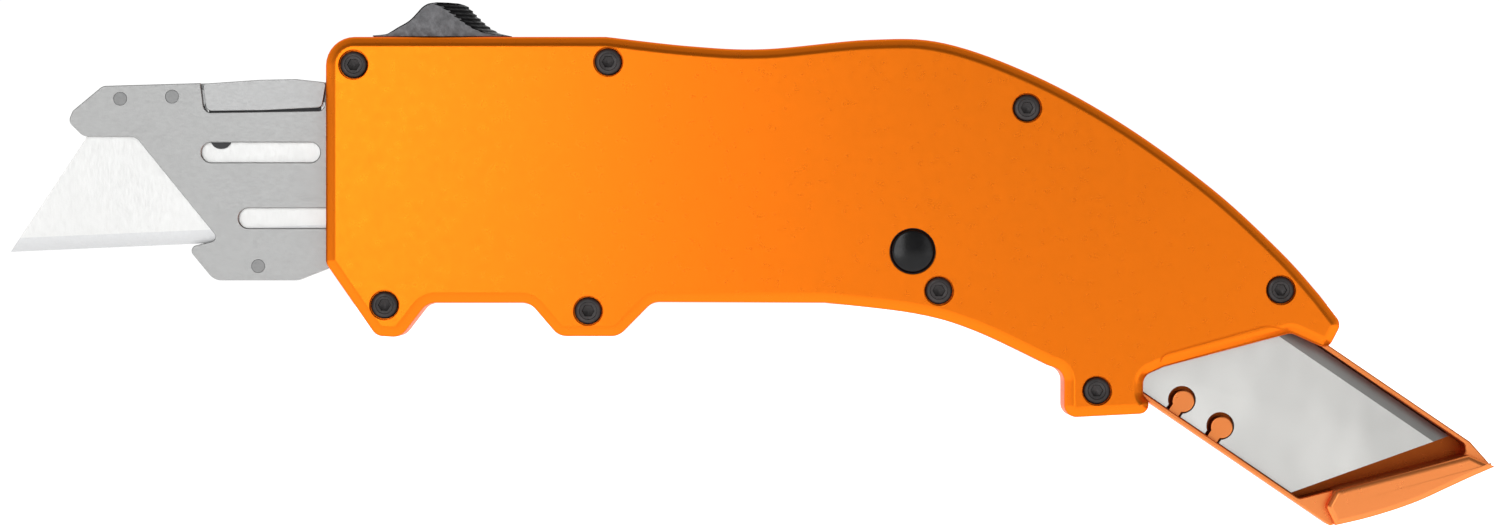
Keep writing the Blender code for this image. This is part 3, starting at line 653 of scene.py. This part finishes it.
# The slide's side view carried across its width. Its rear slope is pulled back towards both sides, so it is
# crowned, and it is cut into level ribs.
def makeSlide():
    base = thumb["base"]
    ramp = np.array(curvePoints(thumb["ramp"], 4))[:, :2]
    slope = np.array(curvePoints(thumb["slope"], 40))[:, :2]
    pull = np.interp(slope[:, 1], [row[1] for row in thumb["slope"]][::-1], thumb["sidePull"][::-1])
    tooth = (slope[:, 1] / 4.5 * thumb["ribs"]) % 1.0
    ribbed = np.clip((slope[:, 1] - 0.25) / 0.4, 0, 1) * thumb["ribDeep"]
    across = [-t for t in thumb["across"][:0:-1]] + list(thumb["across"])
    rings = []
    for t in across:
        ease = thumb["edge"] * max(abs(t) - 0.96, 0) / 0.04
        back = pull * abs(t) ** 1.6 + ribbed * np.abs(tooth - 0.5) * 2 + ease
        rear = np.stack([slope[:, 0] - back, slope[:, 1] - ease * 0.5], 1)
        fore = np.stack([np.minimum(ramp[:, 0] + ease, rear[0, 0] - 0.02 * np.arange(len(ramp))[::-1]),
                         ramp[:, 1] - ease * np.clip(ramp[:, 1], 0, 1)], 1)
        shape = np.concatenate([[(ease, 0.0)], fore, rear, [(rear[-1, 0], 0.0)]])
        rings.append(flatRing(shape + [thumb["left"], base], midY + t * thumb["halfWidth"]))
    slide = loft("thumbSlide", rings)
    stem = slab("cutter", boxCorners(*thumb["stem"]), midY - 1.6, midY + 0.7, soft=0)
    carve(slide, [stem], "UNION")
    finishPiece(slide, [slideBlack, ribPaintedShade], "thumb_slide", ["thumb_slide"], 40)
    # Faces that do not face sideways, the ribs and slopes, take the darker black as painted shade.
    flat = np.abs(faceValues(slide, "normal")[:, 1]) > 0.9
    slide.data.polygons.foreach_set("material_index", (~flat).astype(int))
    print("thumb slide made")


makeSlide()


# The tray's walls and floor are a slab with its well carved out, joined to two pegs with webs and to the end
# cap, which is as thick as the handle. Faces inside the well take a darker orange as painted shade.
def makeTray():
    low, high, wall = tray["low"], tray["low"] + tray["width"], tray["wall"]
    slope = 1 / tan(radians(bladeSize["angle"]))
    base, top = backY - tray["underBack"], backY - tray["underTop"]
    end, capBase = tray["end"], tray["capBase"]
    outer = [(end - 1.3, high, 0.4), (end - 1.3 + (high - low) * slope, low, 0.4), (capBase - 6.1, low, 0.3),
             (capBase + 7.8, high - 1.1, 0.5), (capBase + 3.4, high, 1.5)]
    body = slab("storageTray", trayCorners(outer), top, base, 0.2)
    insideHigh, insideLow = high - wall, low + wall
    inside = [(end - 0.4, insideHigh, 0.3), (end - 0.4 + (insideHigh - insideLow) * slope, insideLow, 0.3),
              (capBase - tray["wellStart"], insideLow, 0.9), (capBase + tray["wellEnd"], insideHigh, 1.2)]
    carve(body, [flare(trayCorners(inside), top, base - tray["floor"], 0.14)])
    pegs = []
    back = high - wall - tray["bladeRoom"] - bladeSize["width"]
    for side in (-1, 1):
        at = end + bladeSize["length"] / 2 + side * bladeSize["apart"] / 2 + tray["pegGap"]
        x, z, _ = trayCorners([(at, back + bladeSize["deep"] - bladeSize["notch"] - 0.1)])[0]
        rings = [(r, top + y) for r, y in tray["peg"]] + [(tray["peg"][-1][0], base - 0.5)]
        pegs.append(loft("cutter", [flatRing(circlePoints((x, z), r, 48), y) for r, y in rings]))
        web = [(at - 1.0, low + 0.3), (at + 0.6, low + 0.3), (at + 0.6, back + 1.8), (at - 1.0, back + 1.8)]
        pegs.append(slab("cutter", trayCorners(web), top + tray["peg"][0][1], base - 0.5, 0.06, 0))
    bow = curvePoints(tray["bow"] + ((7.9, high - 1.05),), 6)
    edge = [(4.0, high - 1.75, 0.3), (-8.6, 10.3, 1.5), (-8.3, 7.6, 0.8)]
    outline = trayCorners([(capBase + u, v, r) for u, v, r in edge + bow])
    cap = slab("cutter", outline, faceY + 0.1, backY - 0.1, tray["capSoft"], tray["capSoft"], arcs=6)
    carve(body, [cap] + pegs, "UNION")
    finishPiece(body, [trayOrange, shadedWellOrange], "tray", ["storage_tray"])
    # Picks out the faces deep inside the well, which take the painted shade.
    spots = faceValues(body, "center") / mm
    deep = (spots[:, 1] > top + 2.3) & (spots[:, 1] < base - tray["floor"] + 0.05)
    across = spots[:, 0] * acrossTray[0] + spots[:, 2] * acrossTray[1]
    along = spots[:, 0] * downTray[0] + spots[:, 2] * downTray[1]
    lean = tray["wellLean"] / (insideHigh - insideLow)
    lastInside = capBase - tray["wellStart"] + (across - insideLow) * lean
    wellShadeMask = deep & (across > insideLow - 0.05) & (across < insideHigh + 0.05)
    wellShadeMask &= along < lastInside + 0.5
    body.data.polygons.foreach_set("material_index", wellShadeMask.astype(int))
    for i in range(tray["blades"]):
        node = f"spare_blade_{i + 1}"
        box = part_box(node)
        y = (box[0][1] + box[1][1]) / 2 / mm
        makeBlade(f"spareBlade{i + 1}", sparePlace, y, [spareSteel, bevelSteel], "tray", [node])
    print("tray and spare blades made")


button = {
    "dome": (0.04, 0.3, 0.7, 1.1, 1.5, 1.9, 2.2, 2.5, 2.7),
    "domeHigh": 0.24,
    "rim": ((2.88, 0.3), (2.99, 0.4), (3.05, 0.55)),
    "flange": 3.6,
    "flangeDeep": (1.15, 1.55),
    "stem": 0.9,
}


# A low domed button with a rounded rim, over the flange that keeps it in the cover.
def makeButton():
    centre = nodeCentre("tray_release_button")
    top = faceY + 0.02
    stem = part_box("tray_release_button")[1][1] / mm
    upper, lower = (faceY + deep for deep in button["flangeDeep"])
    profile = [(r, top + button["domeHigh"] * (r / 2.8) ** 2) for r in button["dome"]]
    profile += [(r, top + y) for r, y in button["rim"]]
    profile += [(button["rim"][-1][0], upper), (button["flange"], upper), (button["flange"], lower)]
    profile += [(button["stem"], lower), (button["stem"], stem - 0.2), (button["stem"] - 0.2, stem)]
    piece = turnedPiece("trayButton", centre, profile, 72)
    finishPiece(piece, buttonBlack, "tray_button", ["tray_release_button"])


waveSpring = {
    "sheet": 0.12,
    "wide": 0.5,
    "waves": 3,
    "steps": 120,
    "pressed": 0.15,
    "gap": 0.1,
}


# A flat strip carried round a circle and lifted by a cosine of its angle.
def makeWaveSpring():
    low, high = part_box("button_spring")
    x, z = nodeCentre("button_spring")
    outer = (high[0] - low[0]) / 2 / mm
    inner = outer - waveSpring["wide"]
    turn = np.linspace(0, 2 * pi, waveSpring["steps"], endpoint=False)[:, None]
    lift = ((high[1] - low[1]) / mm - waveSpring["sheet"]) * (0.5 + 0.5 * np.cos(waveSpring["waves"] * turn))
    across = np.array([[inner, outer, outer, inner]])
    through = np.array([[0.0, 0.0, waveSpring["sheet"], waveSpring["sheet"]]])
    rings = np.stack([x + across * np.cos(turn), low[1] / mm + lift + through, z + across * np.sin(turn)], -1)
    spring = loft("buttonSpring", rings, closed=True)
    finishPiece(spring, springSteel, "handle", ["button_spring"])
    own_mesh(spring)
    print("button and its spring made")


# Depths are from the leaf's pinned edge: its tip, the tip's step, its back, and the room beside the carrier.
lockSprings = {
    "front_lock_spring": {"piece": "frontLockSpring", "way": 1, "tip": 4.0, "step": 2.4, "back": 1.8,
                          "room": 0.28},
    "rear_lock_spring": {"piece": "rearLockSpring", "way": -1, "tip": 7.2, "step": 5.1, "back": 4.6,
                         "room": 0.3},
}
lockThick = 0.7


# A tapered leaf with an upright tip.
def makeLockSprings():
    for node, leaf in lockSprings.items():
        low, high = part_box(node)
        way = leaf["way"]
        edge = (low if way > 0 else high)[2] / mm
        x0, x1 = low[0] / mm, high[0] / mm
        shape = ((x0, leaf["tip"]), (x0 + 0.8, leaf["tip"]), (x0 + 1.0, leaf["step"]), (x1 - 0.8, lockThick),
                 (x1, lockThick), (x1, 0.0), (x1 - 1.1, 0.0), (x0, leaf["back"]))
        corners = [(x, edge + way * z, 0.1) for x, z in shape]
        piece = slab(leaf["piece"], corners, low[1] / mm, high[1] / mm, 0.08)
        finishPiece(piece, springSteel, "handle", [node])
        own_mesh(piece)
    print("lock springs made")


makeTray()
makeButton()
makeWaveSpring()
makeLockSprings()
cadFinishes = {
    "nose_spacer": plateSteel,
    "tang_spacer": plateSteel,
    "slide_shuttle": springSteel,
    "shuttle_pin": springSteel,
    "main_spring": springSteel,
    "spring_hook_front": springSteel,
    "spring_hook_rear": springSteel,
    "hook_post_front": springSteel,
    "hook_post_rear": springSteel,
    "lever_spring": springSteel,
    # The blade's retainer spring is made near-black as painted shade.
    "blade_retainer_spring": paintedShadeSteel,
    "button_retainer": springSteel,
    "tray_latch_spring": springSteel,
}
for nodeName, finish in cadFinishes.items():
    nodes[nodeName].data.materials.clear()
    nodes[nodeName].data.materials.append(finish)
print("inner pieces finished")


studio = {
    "floorSize": 6.0,
    "floorBelow": 0.0125,
    "floorGlow": (0.55, 1.0),
    "frontLeft": 0.53,
    "frontRight": 0.42,
    "overhead": 0.42,
    "behind": 1.05,
    "camera": (0.0, -0.8, -0.0117),
    "wide": 0.2083,
    "lamps": {
        "keyLight": {"place": (-0.128, -0.6, 0.03), "target": (-0.05, 0, 0), "size": (0.14, 0.5),
                     "power": 0.72},
        "fillLight": {"place": (0.25, -0.6, 0.0), "target": (0.08, 0, 0), "size": (0.16, 0.5),
                      "power": 0.2},
        "backLight": {"place": (-0.1, 0.6, 0.25), "target": (0, 0, 0), "size": (0.6, 0.4),
                      "power": 0.6},
    },
}


# A wide flat floor a little below the knife, so that the tray clears it, and dimmer on the camera's side.
def makeFloor():
    size = studio["floorSize"]
    z = cadBox[0][2] - studio["floorBelow"]
    mesh = bpy.data.meshes.new("floor")
    corners = [(-size, -size, z), (size, -size, z), (size, size, z), (-size, size, z)]
    mesh.from_pydata(corners, [], [[0, 1, 2, 3]])
    floor = bpy.data.objects.new("floor", mesh)
    bpy.context.scene.collection.objects.link(floor)
    made, tree, links, shader = newMaterial("paleFloor", (0.9, 0.9, 0.9), 0.9, 0.0)
    where = tree.new("ShaderNodeTexCoord")
    split = tree.new("ShaderNodeSeparateXYZ")
    links.new(where.outputs["Object"], split.inputs[0])
    shader.inputs["Emission Color"].default_value = (1, 1, 1, 1)
    glow = rangeOf(tree, links, split.outputs["Y"], *studio["floorGlow"], -0.25, 0.02)
    links.new(glow, shader.inputs["Emission Strength"])
    mesh.materials.append(made)


# White behind the knife. In front it is bright to the left, dimmer to the right and dark overhead.
def makeWorld():
    world = bpy.data.worlds.new("studio")
    bpy.context.scene.world = world
    world.use_nodes = True
    tree, links = world.node_tree.nodes, world.node_tree.links
    where = tree.new("ShaderNodeTexCoord")
    split = tree.new("ShaderNodeSeparateXYZ")
    links.new(where.outputs["Generated"], split.inputs[0])
    left = rangeOf(tree, links, split.outputs["X"], studio["frontLeft"], studio["frontRight"], -0.22, 0.1)
    high = rangeOf(tree, links, split.outputs["Z"], 1.0, studio["overhead"], 0.15, 0.75)
    front = tree.new("ShaderNodeMath")
    front.operation = "MULTIPLY"
    links.new(left, front.inputs[0])
    links.new(high, front.inputs[1])
    behind = tree.new("ShaderNodeMix")
    links.new(rangeOf(tree, links, split.outputs["Y"], 0.0, 1.0, -0.05, 0.25), behind.inputs["Factor"])
    links.new(front.outputs[0], behind.inputs["A"])
    behind.inputs["B"].default_value = studio["behind"]
    links.new(behind.outputs["Result"], tree["Background"].inputs["Strength"])
    tree["Background"].inputs["Color"].default_value = (1, 1, 1, 1)


def addLight(name, place, target, size, power):
    data = bpy.data.lights.new(name, "AREA")
    data.shape = "RECTANGLE"
    data.size, data.size_y = size
    data.energy = power
    lamp = bpy.data.objects.new(name, data)
    lamp.location = place
    lamp.rotation_euler = (Vector(target) - Vector(place)).to_track_quat("-Z", "Y").to_euler()
    bpy.context.scene.collection.objects.link(lamp)


# Straight on to the front face, as wide as the open knife.
def makeCamera():
    data = bpy.data.cameras.new("camera")
    camera = bpy.data.objects.new("camera", data)
    bpy.context.scene.collection.objects.link(camera)
    camera.location = studio["camera"]
    camera.rotation_euler = (pi / 2, 0, 0)
    distance = faceY * mm - studio["camera"][1]
    data.sensor_width = 36
    data.lens = 36 * distance / studio["wide"]
    data.clip_start = 0.01
    bpy.context.scene.camera = camera


makeFloor()
makeWorld()
for lampName, lamp in studio["lamps"].items():
    addLight(lampName, lamp["place"], lamp["target"], lamp["size"], lamp["power"])
makeCamera()
bpy.context.scene.view_settings.view_transform = "Standard"
print("studio made")
